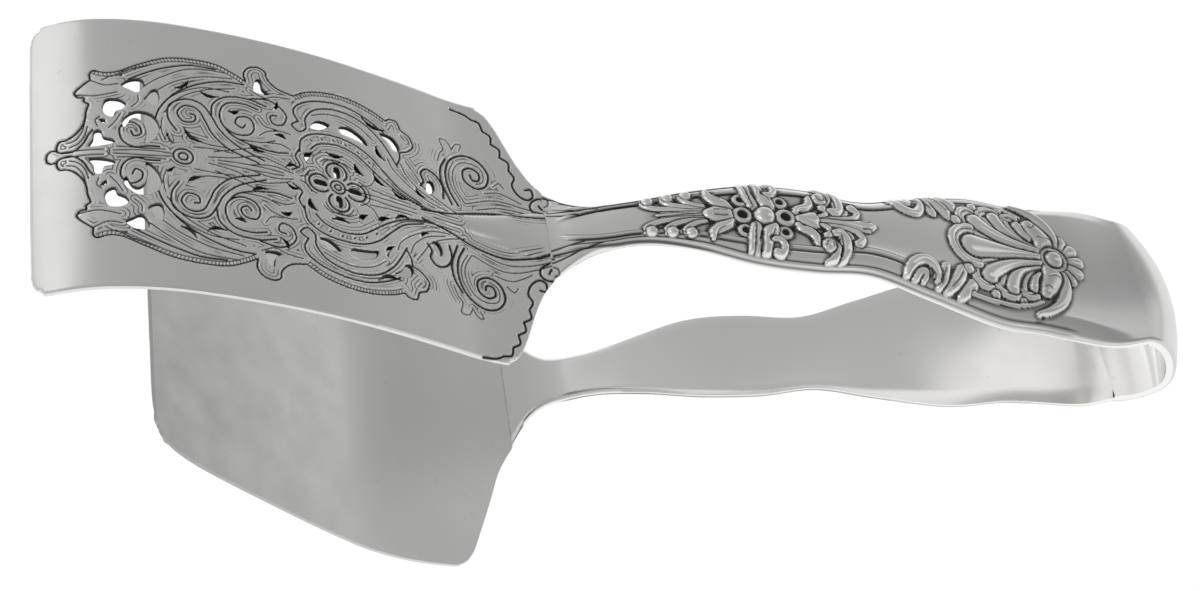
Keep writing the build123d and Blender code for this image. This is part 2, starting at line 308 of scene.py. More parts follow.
def sheet(name, arm, outline, holes, grid, draw=None, outer=True, parting=math.inf):
    """One face of a thin plate: a grid cut to its outline and holes.

    The outer face also has the edge walls, but none where it meets its other piece at the parting."""
    def within(px, py):
        ok = inside(px, py, outline)
        for poly in holes:
            ok &= ~inside(px, py, poly)
        return ok

    s, y = np.meshgrid(*grid, indexing="ij")
    step = np.median(np.diff(grid[0]))
    ground = Ground(s, y)
    dist = np.full(s.shape, FAR)
    foot = np.zeros(s.shape + (2,))
    for k, poly in enumerate([outline] + holes):
        for win, d, _, a, e, t in ground.runs(np.concatenate([poly, poly[:1]]), 1.0 if k else 2.5):
            closer = d < dist[win]
            dist[win][closer] = d[closer]
            foot[win][closer] = (a + t[..., None] * e)[closer]
        if k == 0:
            off_rim = dist.copy()
    solid = within(s, y)
    snapped = dist < EDGE_SNAP * step
    snapped[s == parting] = False
    ground.s[snapped], ground.y[snapped] = foot[snapped].T
    if draw:
        draw(ground)
        ground.settle(LINE_SNAP * step, ~snapped & solid)
        ground.high = rib(ground.s, ground.y)
    thinned = RIM_THINNED * smooth_step(1 - off_rim / RIM_WIDE)
    height = ground.high - ground.cut - rounded(dist, PLATE_ROUND) * (0.35 if holes else 0.8)
    if not holes:
        height = height - thinned
    # Two triangles to a cell, parted so that none crosses an edge: 1 solid, 0 on an edge, -1 open
    state = np.where(snapped, 0, np.where(solid, 1, -1)).ravel()
    height = height.ravel()
    a, b, c, d = corners(np.arange(s.size).reshape(s.shape))
    lower_ac = height[a] + height[c] <= height[b] + height[d]
    use_ac = np.where(state[a] * state[c] < 0, False, (state[b] * state[d] < 0) | lower_ac)[:, None]
    tris = np.concatenate([np.where(use_ac, np.stack([a, b, c], 1), np.stack([a, b, d], 1)),
                           np.where(use_ac, np.stack([a, c, d], 1), np.stack([b, c, d], 1))])
    keep = state[tris].min(1) >= 0
    ps, py = ground.s.ravel(), ground.y.ravel()
    unsure = np.nonzero(keep & (state[tris].max(1) == 0))[0]
    keep[unsure] = within(ps[tris[unsure]].mean(1), py[tris[unsure]].mean(1))
    tris = tris[keep]
    at = np.stack([ps, py], 1)[tris]
    one, two = at[:, 1] - at[:, 0], at[:, 2] - at[:, 0]
    tris = tris[np.abs(one[:, 0] * two[:, 1] - two[:, 0] * one[:, 1]) > 1e-7]
    used, tris = np.unique(tris, return_inverse=True)
    tris = tris.reshape(-1, 3)
    ps, py, height = ps[used], py[used], height[used]
    sunk = np.maximum(hollow_back(ps, py), thinned.ravel()[used]) if holes else np.zeros(len(ps))
    if outer:
        edges = np.concatenate([tris[:, [0, 1]], tris[:, [1, 2]], tris[:, [2, 0]]])
        key = edges.min(1).astype(np.int64) * len(ps) + edges.max(1)
        _, first, count = np.unique(key, return_index=True, return_counts=True)
        rim = edges[first[count == 1]]
        rim = rim[~np.isclose(ps[rim], parting).all(1)]
        ids, foot_of = np.unique(rim, return_inverse=True)
        foot_of = foot_of.reshape(-1, 2) + len(ps)
        faces = [tris, np.stack([rim[:, 1], rim[:, 0], foot_of[:, 0], foot_of[:, 1]], 1)]
        points = [arm.place(ps, py, PLATE_THICK + height), arm.place(ps[ids], py[ids], sunk[ids])]
        # The rims and walls of the openings are painted dark
        at_hole = off_rim.ravel()[used][ids] > 2
        patina_and_shade = np.clip(ground.cut.ravel()[used] / FULL_CUT, 0, 1)
        patina_and_shade[ids[at_hole]] = np.maximum(patina_and_shade[ids[at_hole]], .75)
        patina_and_shade = np.concatenate([patina_and_shade, at_hole * 1.0])
        stroke = np.concatenate([ground.stroke.ravel()[used], np.full(len(ids), NO_STROKE)])
    else:
        points, faces = [arm.place(ps, py, sunk)], [tris[:, ::-1]]
        patina_and_shade, stroke = np.zeros(len(ps)), np.full(len(ps), NO_STROKE)
    if arm.side < 0:
        faces = [f[:, ::-1] for f in faces]
    return make_mesh(name, np.concatenate(points), faces, patina_and_shade, stroke, 13 if holes else 35)


def hollow_back(s, y):
    """How far the back of the pierced plate is hollowed round its openings."""
    e = np.zeros(np.shape(s))
    for hole in wide_holes:
        middle = (hole.min(0) + hole.max(0)) / 2
        reach = np.hypot(*(hole.max(0) - hole.min(0))) / 2
        e = np.maximum(e, 1 - (np.hypot(s - middle[0], y - middle[1]) - reach) / 1.5)
    return 0.45 * smooth_step(e)


def places(text):
    """Places from a table: their numbers parted by spaces, the places by commas."""
    return [tuple(map(float, place.split())) for place in text.split(",")]


def paths(text):
    """Paths from a table, parted by semicolons."""
    return [places(path) for path in text.split(";")]


def spots(points):
    """Places as rows of an array, from a table's text or as they are."""
    return np.array(places(points) if isinstance(points, str) else points, float).reshape(-1, 2)


def whole(half, step):
    """A closed outline about the middle line, from places along its one half."""
    half = smooth(half, step)
    return np.concatenate([half, (half * [1, -1])[::-1]])


# ---- upper plate: the outline, the pierced openings and the engraving ----
# Places are (along the arm, off the plate's middle line) in millimetres, one half each.
PLATE_HALF = places("""
    112.8 9, 114.5 11.2, 116.4 14.8, 118 18.7, 119.4 22.2, 120.8 24.8, 122.8 26.3, 125.4 26.7, 150 26.7,
    175 26.7, 194 26.7, 196.6 25.9, 198 23.6, 198.2 15""")
HOLE_SHAPES = paths("""
    189.5 1.2, 188.9 2.7, 188.7 4.2, 187.8 4.3, 187.4 3, 186.2 2.6, 185.8 1.9, 187.4 1.3; 187.4 9.2,
    186.8 10.7, 185 10.7, 184 9.8, 184.5 8.7, 185.6 8.1, 186 7, 187.2 7.7; 184.6 13.6, 183.6 14.7, 182 15.1,
    181.2 14.4, 181.6 12.9, 182.4 12.2, 183.3 12.7; 181.3 10.9, 180.7 11.9, 180.2 12.8, 179.3 13.1,
    179 11.4, 179.4 9.9, 180.5 10.1; 182.2 8.4, 180.2 7.8, 179.2 5.9, 179.5 3.8, 180.6 2.2, 181.4 2,
    181.1 3.9, 181.5 5.9, 182.5 6.9, 183.5 6.5, 184.3 4.9, 184.6 6.3, 183.7 7.6; 164 16.4, 163.5 18.7,
    162.7 18.8, 162.4 17.1, 161.4 16.2, 162.8 15.9; 154.9 11.2, 154.2 12.6, 153 13.2, 151.5 12.9,
    152.2 11.9, 153.5 11.1; 149.8 12.9, 148.5 13.5, 147 13.2, 145.4 12.1, 144.9 10.8, 146 11.1, 148 11.5,
    149.4 11.7; 142.4 14.4, 141 14.7, 139.8 14.3, 138.9 12.9, 139.2 11.7, 140.2 11.9, 140.8 13.1; 134.6 5.8,
    134.1 7.4, 133.2 7.7, 132.9 6.3, 133.6 5, 134.4 5.1""")
# Narrow openings: both ends and half the width
SLOTS = places("""
    145.5 16.7 141.4 15.4 .4, 143.3 11.4 141.9 8.8 .42, 159.2 7.4 161 7.9 .45, 165.5 4.9 162.8 3.8 .4,
    175.4 5.7 172.8 3.5 .42, 172.8 14.1 169.8 13.5 .35, 176.8 13.9 174.4 15.9 .33, 154.9 5.9 156.1 3.7 .55,
    147.6 6.1 146.2 4 .5, 144.4 5.3 142.2 3.2 .42, 141.2 3 138.4 1.9 .36, 152.6 6.9 149.6 6.9 .38,
    168.4 10.9 166.6 11.3 .38, 178 4.4 177.2 2.4 .36, 161.4 12.9 160.2 15.1 .3, 136.6 5 135 3.7 .34,
    157.6 2.3 159.6 1.7 .34, 187.2 5.6 188 6.6 .4""")


def capsule(a, b, r):
    """An opening with parallel sides and round ends."""
    turn = math.degrees(math.atan2(*(b - a)[::-1]))
    return np.concatenate([arc(*b, r, turn - 90, turn + 90, 9), arc(*a, r, turn + 90, turn + 270, 9)])


def sliver(a, b, r):
    """A narrow opening, widest in its middle and a little bent."""
    way = b - a
    side = np.array([-way[1], way[0]]) / np.hypot(*way)
    k = np.linspace(0, 1, 9)
    belly = r * np.sin(np.pi * np.clip(k, .06, .94))
    spine = a + k[:, None] * way + 0.16 * np.hypot(*way) * np.sin(np.pi * k)[:, None] * side
    return np.concatenate([spine + belly[:, None] * side, (spine - .7 * belly[:, None] * side)[::-1]])


half_holes = [smooth(h, 0.4, True) for h in HOLE_SHAPES]
wide_holes = [h * [1, side] + [0, MIDLINE] for h in half_holes for side in (1, -1)]
half_holes += [sliver(k[:2], k[2:4], k[4]) for k in np.array(SLOTS)]
holes = [h * [1, side] + [0, MIDLINE] for side in (1, -1) for h in half_holes]
ROSE = np.array([151.0, MIDLINE + 0.05])
holes += [capsule(ROSE + 2.3 * toward(a), ROSE + 3.6 * toward(a), .52) for a in (0, 90, 180, 270)]

# The milled border, the bold lines of the scrolls and the finer ones between them
MILLED = paths("""
    188.4 16.7, 187 16.2, 185 16.5, 182 18.1, 178 19.9, 174 20.5, 170 20.3, 167 19, 165.2 17.9;
    157.5 17.1, 155 18.7, 152 19.6, 149 19.9, 146 19.6, 143 18.7, 141 17.7""")
BOLD = paths("""
    165.2 17.9, 165.4 19.6, 164.6 21, 163 21.5, 161.8 20.8, 161.5 19.3, 160 17.8, 157.5 17.1; 141 17.7,
    140.1 18.4, 138.8 18.2, 138.2 16.7, 136.8 15.9, 136.2 14, 137.5 12.4, 138.8 11.7, 139 10.4, 139.6 8.9;
    195.7 0, 195.5 .8, 194.8 1.25, 194.1 1.1; 193.2 .45, 194 .9, 194.1 1.9, 193.6 2.8, 192.7 2.9, 191.6 3.6,
    190.6 4.9, 190 6.4, 189.8 8.2, 189.4 9.7; 193.4 .5, 192.2 .35, 191.2 .8, 190.2 2, 189.5 3.6, 188.9 4.5;
    189.5 9.9, 190.1 10.4, 190 11.1, 190.9 11.3, 191.4 12.2, 190.8 13.1, 189.9 14, 189.1 14.7; 189.1 14.9,
    189.2 15.9, 188.7 16.6, 188 16.5; 179.3 1.4, 181 1.4, 183 1.1, 184.7 2.4, 185 4.9, 183.5 6.1, 182.2 5.4,
    181.9 3.9, 182.9 3.3, 183.4 4.3; 164 1.2, 168.5 2.9, 171 5.4, 172 7.7, 173.2 10.1, 175.2 10.5,
    176.4 8.9, 175.5 7.2, 173.9 7.5, 173.6 8.7, 174.5 9; 163 1.9, 167.3 4, 169.8 6.5, 171 9, 172.5 11.3,
    175 11.9, 177.5 10.3, 177.8 7.5, 176.6 5.1; 163.5 12.4, 166 13, 168.6 12.4, 169.7 10.4, 169.4 7.9,
    167.6 6.4, 165.3 6.7, 164.3 8.4, 165 10.2, 166.8 10, 167.3 8.6, 166.3 7.9, 165.7 8.7; 162 13.4,
    165 14.2, 168.5 13.8, 170.7 11.9, 171.1 9.2; 169.4 7.9, 167.9 5.9, 165 4.7, 161.5 4.2, 159 4.6;
    164.6 14.4, 162 14.9, 160 14.1, 158.8 12.4, 159.5 10.4, 161.1 10.1, 161.5 11.6, 160.4 12; 180 5.9,
    179 9.4, 176.5 12.9, 173 15.4, 169 16.9, 165.5 17.1; 183.5 14.9, 181 16.4, 178 17.9, 174 19.2, 170 19.2;
    156.8 11.9, 157.5 13.4, 157.2 14.9, 155.5 16.4, 153 17.4, 150 17.9, 147 17.6, 144 16.4, 141.5 14.9;
    157 11.9, 158 10.9, 156.9 9.8, 155.6 10.9, 155.6 12.9, 154 15.2, 151 16.4, 148 16.4, 145 15.3,
    142.5 13.1, 141 10.9, 139.6 8.3; 157 5.6, 156.6 8.2, 154.5 10, 151 10.7, 147.5 10.2, 144.5 8.5, 142 5.9,
    139.5 3.6, 136 2.1; 155.2 6.6, 153.6 8.2, 150.5 8.9, 147.5 8.2, 145.2 6.5, 142.5 4.3, 139 2.3, 135 1.2;
    128.5 4.4, 130 7.4, 130.3 10.9, 129 14.1, 126.2 15.9, 123.5 15.3, 122 13, 122.6 10.4, 124.6 9.3,
    126.6 10.4, 126.7 12.5, 125.2 13.5, 123.7 12.7, 123.9 11.2, 125.1 11, 125.4 12; 129.8 4.3, 131.3 8.4,
    131.2 11.4, 130 13.9; 131.4 4.9, 131.2 7.4, 132.4 9.4, 134.2 10, 135.3 8.7, 134.9 7.2, 135.6 6;
    127.6 25.7, 125.2 25.4, 123.7 24.6; 123.7 24.6, 122.3 24.2, 121.8 22.5; 121.8 22.5, 120.5 21.6,
    120.6 19.9; 120.6 19.9, 119.2 18.9, 119.3 17.2; 119.3 17.2, 117.9 16.2, 118 14.5; 118 14.5, 117.2 13,
    117.8 11.4, 117 9.4, 115.5 8.4, 114.4 9.1, 114.6 10.6, 115.6 10.5; 136 .9, 131 1.9, 126 3.6, 121 4.6,
    117 4.1, 112 3.4, 107 2.6; 113.4 5, 114.9 6, 115 7.6, 113.6 8.6, 112.1 8, 112 6.7, 113.1 6.3, 113.6 7.1;
    158.6 1.4, 157.2 2.6, 157.8 4.4, 157 6.2""")
MEDIUM = paths("""
    192.6 2.2, 191.4 2.6, 190.4 4.2, 190 6; 192.2 1.3, 191 1.9, 190.1 3.3, 189.6 5.2; 191 11.8, 188.6 11.4,
    186.8 11.7, 185.2 12.2; 189 14.6, 187 13.6, 185 13.9; 187.4 14.6, 186 15.5, 184.4 15.6; 193.5 .6,
    190 .5, 187.4 .5; 186 .3, 181 .5, 177.6 .3; 185.5 1.1, 182 .9, 178.4 1; 178.5 8.4, 176 11.9, 172 14.4,
    167 15.9; 181.5 13.4, 178.5 15.9, 174 18.4, 168 18.9; 186 15.3, 183.4 16.9, 180 18.3; 179.4 12.9,
    176.6 15.2, 172.4 17.1, 167.4 17.9; 178.4 3, 178.9 5, 178.7 7.4; 177.8 11.4, 175.4 13.4, 172 14.9,
    168 14.9; 154.5 13.9, 152 15, 149 15.2, 146 14.2, 143.8 12.4; 131 2.4, 134.5 3.1, 138 5.1, 140.5 7.4,
    141.4 9.4; 132 3.2, 135.5 4.6, 138 6.9, 139 9.2; 128 2.3, 131.5 3.6, 134.8 5.6, 136.6 8.2, 138 10.2;
    129 1.3, 134 1.4, 139 2.7, 142 4.9; 150 0, 143 .5, 137 .4; 145.5 1.7, 142 1.3, 138 1.1; 127 5.4,
    122.5 7.2, 119.4 7.3, 116 6.4, 112 5.2, 107.6 3.9; 123.2 8.6, 120.6 9.2, 118.4 8.4, 116.6 7.4;
    125.2 4.6, 121 5.9, 117 5.6, 112.4 4.6; 121.4 10.4, 120.2 11.4, 119.4 10.4; 112.9 8.2, 110.4 7.2,
    107.8 5.4; 127.2 5.4, 128.8 8.4, 128.8 11.4, 127.5 13.7, 125.5 14.5, 123.4 13.9, 122.9 12.3, 123.3 10.9,
    124.6 10.2; 128 5.6, 129.5 8.4, 129.6 11.2, 128.4 13.9; 131.6 12.9, 130.9 14.9, 130.2 15.9, 130.7 18,
    129.3 18, 128.5 16.8; 128.5 16.4, 127.5 18, 126.5 18, 127 16.7; 110 6.6, 107 5.2, 104 4.4; 112.5 4.2,
    108 3.9, 104 3.2; 172 .6, 168 1.3, 164 2.6, 161 2, 159 1.2; 171 1.9, 167 3.3, 163.5 4.6; 166 .4,
    162 1.2, 158.5 .6; 170.5 .3, 165 .5, 160 .3; 174.2 2.2, 171 2.4, 168 2.2; 174.6 3.8, 171.8 3.2, 169 3.1;
    162.4 5.8, 160.2 6.1, 158.6 5.4; 166.8 5.4, 163.4 5.6, 161 6.6; 158.4 8.6, 160 8.8, 162.2 8.2, 163.6 7;
    163.6 10.6, 162.6 9.2, 160.6 8.9; 146.9 1.7, 145.2 2.4, 144.2 4; 148.2 4.6, 149.6 5.4, 151 5.2,
    152.6 5.4, 153.8 4.4; 155.6 2.2, 156.2 1, 157.4 .4; 164.6 16.2, 162.4 15.2, 160.6 15.9, 158 16.2;
    186.6 4.8, 185.6 6.2, 184.8 7.8; 188.2 5.2, 188.5 6.4, 187.8 7.2; 183.2 9.2, 182.2 10.4, 182.2 11.6;
    137.6 14.6, 138.4 15.6""")
DOTS = places("154.9 8.5, 153 9.4, 151 9.75, 148.9 9.5, 146.8 8.7, 144.9 7.3")
# The engraved field, outside which the plate isn't hatched
REGION = (places("""
    196 0, 195.8 1, 194.3 1.4, 194.2 2.2, 193.6 3, 192.5 3.1, 190.8 5, 190.1 7, 189.8 9.6, 190.2 11,
    191.5 12.1, 190.6 13.5, 189.3 15, 189 16.8""") + MILLED[0][1:] + BOLD[0][1:-1] + MILLED[1] + BOLD[1][1:5]
    + places("""
    135.4 15.2, 131.8 17.2, 127 17.2, 122.6 16.2, 120.4 13.2, 120.4 9.8, 118.4 6.6, 114 5.2, 110 4.4,
    110 0"""))
# Widths and depths of the engraver's cuts
RAIL_CUT, INNER_RAIL_CUT, TICK_CUT = (.24, .16), (.22, .12), (.16, .12)
BOLD_CUT, NECK_CUT, THIN_CUT, DOT_CUT = (.27, .22), (.36, .22), (.22, .14), (.26, .2)
RING_CUT, PETAL_CUT, VEIN_CUT = (.3, .2), (.34, .22), (.26, .14)


def rib(s, y):
    """The rounded neck of the handle, which runs on and dies away in the plate."""
    fade = smooth_step((136 - s) / 26)
    wide = 1.1 + 3.7 * smooth_step((134 - s) / 22)
    return NECK_RISE * fade * np.sqrt(np.clip(1 - (y / wide) ** 2, 0, 1))


def draw_plate(ground):
    """The engraving of the upper plate, alike on both sides of its middle line."""
    def put(path, cut):
        ground.line(path * [1, side] + [0, MIDLINE], *cut)

    for side in (1, -1):
        for points in MILLED:
            path = smooth(points, .3)
            inner = beside(path, 0.78)
            put(path, RAIL_CUT)
            put(inner, INNER_RAIL_CUT)
            for a, b in zip(path[::2], inner[1::2]):
                put(np.array([a, b]), TICK_CUT)
        for points in BOLD:
            put(smooth(points), BOLD_CUT if points[0][0] > 137 else NECK_CUT)
        for points in MEDIUM:
            put(smooth(points), THIN_CUT)
        for s, v in DOTS:
            put(np.array([(s - .12, v - .15), (s + .12, v + .15)]), DOT_CUT)
    ground.stroke[~inside(ground.s, ground.y, whole(REGION, 0.5) + [0, MIDLINE])] = NO_STROKE
    for r in (.55, 1.25):
        ground.line(arc(*ROSE, r, 0, 360, 40), *RING_CUT)
    for a in (0, 90, 180, 270):
        petal = ROSE + 3.1 * toward(a)
        ground.line(arc(*petal, 1.75, a - 140, a + 140, 30), *PETAL_CUT)
        ground.line(arc(*petal, 2.45, a - 75, a + 75, 24), *VEIN_CUT)
    for r in (.7, 1.5):
        ground.line(arc(175.8, MIDLINE, r, 0, 360, 36), *RING_CUT)


def spaced(a, b, gap):
    """Grid lines from a to b, about this far apart."""
    n = max(1, int(round((b - a) / gap)))
    return a + (b - a) * np.arange(n + 1) / n


upper_outline = whole(PLATE_HALF, 0.6)
fine = 0.175
coarse = 0.45
fine_y = spaced(-27.2, 27.2, fine)
face = sheet("upper_plate_face", upper, upper_outline, holes, (spaced(112.6, PARTING, fine), fine_y),
             draw_plate, parting=PARTING)
face_tip = sheet("upper_plate_tip", upper, upper_outline, holes, (spaced(PARTING, 198.5, fine), fine_y),
                 draw_plate, parting=PARTING)
back = sheet("upper_plate_back", upper, upper_outline, holes,
             (spaced(112.6, 198.5, coarse), spaced(-27.2, 27.2, coarse)), outer=False)

# ---- lower plate ----
LOW_HALF = places("""
    112.8 14.4, 114.2 16.6, 116 20, 118 25.6, 120.2 31.4, 122.3 36.4, 124.6 38.5, 127.5 38.8, 140 38.8,
    160 38.8, 183.2 38.8, 186.6 37.6, 188.3 34.4, 188.5 20""")
low_outline = whole(LOW_HALF, 0.6)
low_grid = (spaced(112.6, 188.8, .5), spaced(-39.2, 39.2, .5))
low_face = sheet("lower_plate_face", lower, low_outline, [], low_grid)
low_back = sheet("lower_plate_inner", lower, low_outline, [], low_grid, outer=False)

# ---- handles ----
HALF_WIDTHS = places("""
    0 12.3, 6 13.3, 13.6 14.7, 26 13.6, 36.2 13.6, 48.6 10.5, 58.8 7.8, 68.9 8.6, 79.1 8.2, 89.3 5.9,
    97.2 4.4, 104 4.5, 108.5 6, 113 9""")


def half_width(s, low):
    """Half the handle's width. The lower one widens toward its plate."""
    path = smooth(HALF_WIDTHS, 0.5)
    w = np.interp(s, path[:, 0], path[:, 1])
    return w + 5.2 * np.clip((s - NECK_END) / 9, 0, 1) ** 2 if low else w


def pair(g, points, radii, height, **more):
    """One form on each side of the handle's middle line."""
    for side in (1, -1):
        g.form(spots(points) * [1, side], radii, height, **more)


def cut_pair(g, points, radius, depth):
    """One groove on each side of the handle's middle line."""
    for side in (1, -1):
        g.groove(spots(points) * [1, side], radius, depth)


def eyed(g, s, y, r, eye, height):
    """A petal with a sunk dark eye."""
    for side in ((1, -1) if y else (1,)):
        g.form([(s, y * side)], r, height)
        g.form([(s, y * side)], eye, .02, ring=.3, lift=0)
        spot = np.hypot(g.s - s, g.y - y * side) < eye + .1
        g.dark[spot] = 1


def flower_relief(g):
    """The stems, beads, tulips, eyed petals and flower on the slim part of the handle."""
    g.fuller = 1.1
    for v in (0, .62):
        pair(g, [(87.8, .4 * v), (91.5, v), (95.0 - 1.2 * v, v * 1.1)], (.3, .3, .22), .4, ring=.24)
    for stem, bead in (("88.2 .9, 92.2 1.05, 95.2 1.4, 96.9 2.3, 97 3.2", (96.25, 3.05)),
                       ("88 1.3, 90.4 1.45, 92.7 2, 93.8 2.9, 93.8 3.7", (93.1, 3.5)),
                       ("87.8 1.6, 89.2 1.9, 90.5 2.6, 91 3.5, 90.8 4.1", (90.2, 3.85))):
        pair(g, stem, (.3, .36, .44, .5, .45), .6, ring=.28)
        pair(g, [bead], .84, .95, ring=.22)
    pair(g, "83.5 1, 84.3 2.1, 85.7 2.8, 86.8 3.8, 87 4.9", (.6, .85, .95, .75, .35), .9)
    g.form("87 0, 86 0, 84.8 0, 83.6 0", (.95, 1.4, 1.15, .8), 1.05)
    eyed(g, 81.4, 3.2, 1.2, .45, .7)
    eyed(g, 81.5, 0, 1.5, .68, .85)
    eyed(g, 74.6, 3.2, 1.15, .45, .7)
    eyed(g, 74.1, 0, 1.6, .68, .85)
    pair(g, "72.2 1.3, 71.7 2.1, 70.4 2.5, 69.4 3.5, 69.3 4.8", (.45, .6, .75, .75, .45), .9)
    g.form("71.8 0, 70.6 0, 69.2 0", (.6, 1.05, 1.6), 1.0)
    pair(g, "79.3 1.9, 79.5 4.3, 79.5 7.3", (.7, 1.0, .9), .8)
    pair(g, "80 2, 80.6 4.4, 80.9 7.1", (.4, .55, .45), .95)
    pair(g, "76.7 2.3, 77.2 3.3, 78 5, 78.3 7.1", (1.05, 1.25, 1.1, .8), 1.15)
    pair(g, "77.1 4.7, 75.9 4.8, 75.1 5.9, 75.7 7.3, 76.6 6.9", (.45, .6, .65, .6, .6), 1.0)
    g.form("77.75 0", 1.62, 1.8, ring=.42)
    pair(g, "67.8 1, 65.3 1.4, 63.4 2, 62.9 2.7", (.24, .3, .34, .4), .5, ring=.26)
    pair(g, "67.8 .55, 64.6 .8, 62 1.4, 60.9 2.7, 61.7 3.8", (.28, .38, .48, .55, .8), .75)
    g.form("67.8 0, 63.8 0, 61.4 0, 59.8 0, 58.4 .2", (.3, .42, .85, 1.3, .5), .75)
    pair(g, "68.1 .9, 67 1.4, 66.5 2.3, 67.2 2.9", (.3, .42, .5, .68), .85)
    pair(g, "65.9 2.3, 64.9 2.2, 64.1 3.6, 64.3 5.6, 65.2 7.1, 66.4 7.9", (.6, .8, .95, 1.0, .85, .6), 1.05)
    pair(g, "66.5 3.9, 65.8 5.3, 66.3 6.9, 67.5 7.8", (.45, .7, .75, .6), .95)
    pair(g, "67.3 4.9", 1.2, 1.2)
    cut_pair(g, "78.6 3.4, 78.9 5, 79 6.9", .26, .3)
    cut_pair(g, "76.6 3, 77.1 4.2, 77.7 5.4", .2, .22)
    cut_pair(g, "67.9 5.2, 67.5 4.3, 66.7 4.5, 66.7 5.3", .2, .25)
    cut_pair(g, "64.9 2.9, 64.8 4.6, 65.3 6.4", .22, .25)
    cut_pair(g, "86.4 .5, 85.2 .6, 84.2 .5", .2, .2)
    cut_pair(g, "60.6 .8, 59.6 .7, 59 1", .2, .2)
    cut_pair(g, "86.4 4.4, 86 3.5, 85.1 2.9", .16, .16)


def leaf_group(g):
    """Acanthus leaflets that overlap the borders above the shell."""
    g.fuller = 1.1
    pair(g, "41.3 8.4, 42.2 9.6, 43.4 10.8", (1.0, 1.05, .7), .9)
    pair(g, "42.9 5.8, 43.7 7.4, 44.8 8.9, 46 10.2", (1.0, 1.15, 1.0, .6), 1.0)
    pair(g, "46 5.7, 46.6 7.2, 47 8.5, 47.5 9.7", (.8, .95, .85, .5), 1.0)
    pair(g, "51.9 9, 51.2 7.6, 50.3 7.2, 49.9 8, 50.3 8.8", (.5, .6, .5, .45, .4), .75)
    pair(g, "53.3 8, 52.8 6.7, 51.4 5.4, 49.8 5, 48.6 5.7, 48 7.1, 48 8.6",
         (.6, .85, .9, .9, .9, .8, .5), 1.0)
    cut_pair(g, "43.2 6.6, 44.2 8.1, 45.4 9.5", .24, .28)
    cut_pair(g, "46.4 6.4, 46.9 7.8, 47.2 9", .22, .25)
    cut_pair(g, "49 6.6, 48.5 7.6, 48.4 8.6", .2, .22)


FLUTES = (
    ("27 3.8, 28.1 5, 28.7 6.8", (.4, .7, .85)),
    ("26.2 1.9, 29.7 3, 31.7 4.6, 32.8 6.4, 33.2 7.6", (.4, .75, 1.0, 1.2, 1.25)),
    ("26 1.3, 31.2 2.3, 34.5 3.6, 36.7 5, 37.5 5.9", (.4, .85, 1.2, 1.4, 1.45)),
)
RIBS = paths("""
    26.2 .75, 31 1.35, 35 2, 38.2 3.1;
    26.2 1, 31 1.85, 34.9 2.75, 37.9 3.9;
    26.4 1.6, 29.7 2.45, 32.4 3.9, 34.4 5.7, 35.2 7;
    26.4 1.7, 29.3 2.75, 31.9 4.3, 33.6 6.2, 34.4 7.6;
    26.8 2.6, 29 4.1, 30.2 5.9, 30.6 7.3""")
SCALLOPS = paths("""
    40.4 4.1, 40.5 5.9, 40.4 7.4, 39.4 8.4, 38 8.4, 36.8 7.6;
    36.4 7.8, 35.8 9, 34.4 9.5, 32.5 9.3, 31.5 8.5;
    31 8.5, 29.8 8.9, 28.3 8.5""")


def shell_relief(g):
    """The fluted shell with its scalloped rim, beads, side scrolls and crown of petals."""
    g.fuller = 1.08
    hinge = np.array([23.0, 0])
    middle = np.array([34.6, 0])
    for lobe in SCALLOPS:
        pair(g, lobe, .56, .8, ring=.34)
        off = np.array(lobe) - middle
        pair(g, middle + off * (1 - .95 / np.hypot(*off.T))[:, None], .3, .5, ring=.22)
    g.form(arc(39.5, 0, 4.15, -100, 100, 17), .66, .85, ring=.34)
    g.form(arc(39.5, 0, 3.15, -100, 100, 15), .3, .5, ring=.22)
    for rib_path in RIBS:
        pair(g, rib_path, (.24, .3, .36, .42, .45)[:len(rib_path)], .5, ring=.26)
    for path, radii in FLUTES:
        pair(g, path, radii, 1.15, ring=.42)
    g.form("25.9 0, 31.4 0, 35.9 0, 39.3 0", (.45, 1.0, 1.75, 2.25), 1.2, ring=.42)
    for s, v, r in ((41.6, 5.3, .95), (37.0, 9.5, .8), (31.4, 10.0, .72)):
        pair(g, [(s, v)], r, .9, ring=.36)
    pair(g, "41.5 10.1, 37 10.8, 33 10.9, 29.6 10.2, 27.2 9.2", (.34, .36, .36, .34, .3), .45, ring=.34)
    for a, r in ((0, 1.15), (31, 1.15), (60, 1.1), (86, .95)):
        for side in ((1, -1) if a else (1,)):
            w = toward(a) * [-1, side]
            g.form([hinge + 2.2 * w, hinge + 4.9 * w], (.7, r), .85, ring=.26)
    pair(g, "22.8 2.8, 22.1 4.7, 22.4 7.1, 23.8 9.3, 26.2 10.9, 28.6 11.7",
         (1.0, 1.15, 1.15, 1.0, .75, .4), 1.1)
    pair(g, "24.4 2.7, 24.3 4.1, 25.3 6, 26.2 7.3", (1.6, 1.85, 1.6, 1.15), 1.3)
    cut_pair(g, "22.9 4.3, 24.2 4.1, 25.4 4.4", .2, .16)
    cut_pair(g, "26.6 6.6, 26 6.3, 25.4 6.9", .2, .2)
    g.form(hinge, 2.45, .7, ring=.4)
    g.form(hinge, 1.95, .25, ring=.05, lift=.1)
    g.dark[np.hypot(g.s - hinge[0], g.y) < 1.95] = 1
    g.form(hinge, 1.6, 1.5, ring=.2)


def dished(s, u, low):
    """The slight hollow of the struck handles, deepest between the edges of the wide part."""
    return (LOW_DISH if low else DISH) * (1 - u ** 2) * smooth_step((NECK_END - s) / 60)


def spread(grid):
    """The inner part of a grid, each point evened out with the ones beside it."""
    return (grid[:-2, 1:-1] + grid[2:, 1:-1] + grid[1:-1, :-2] + grid[1:-1, 2:] + 2 * grid[1:-1, 1:-1]) / 6


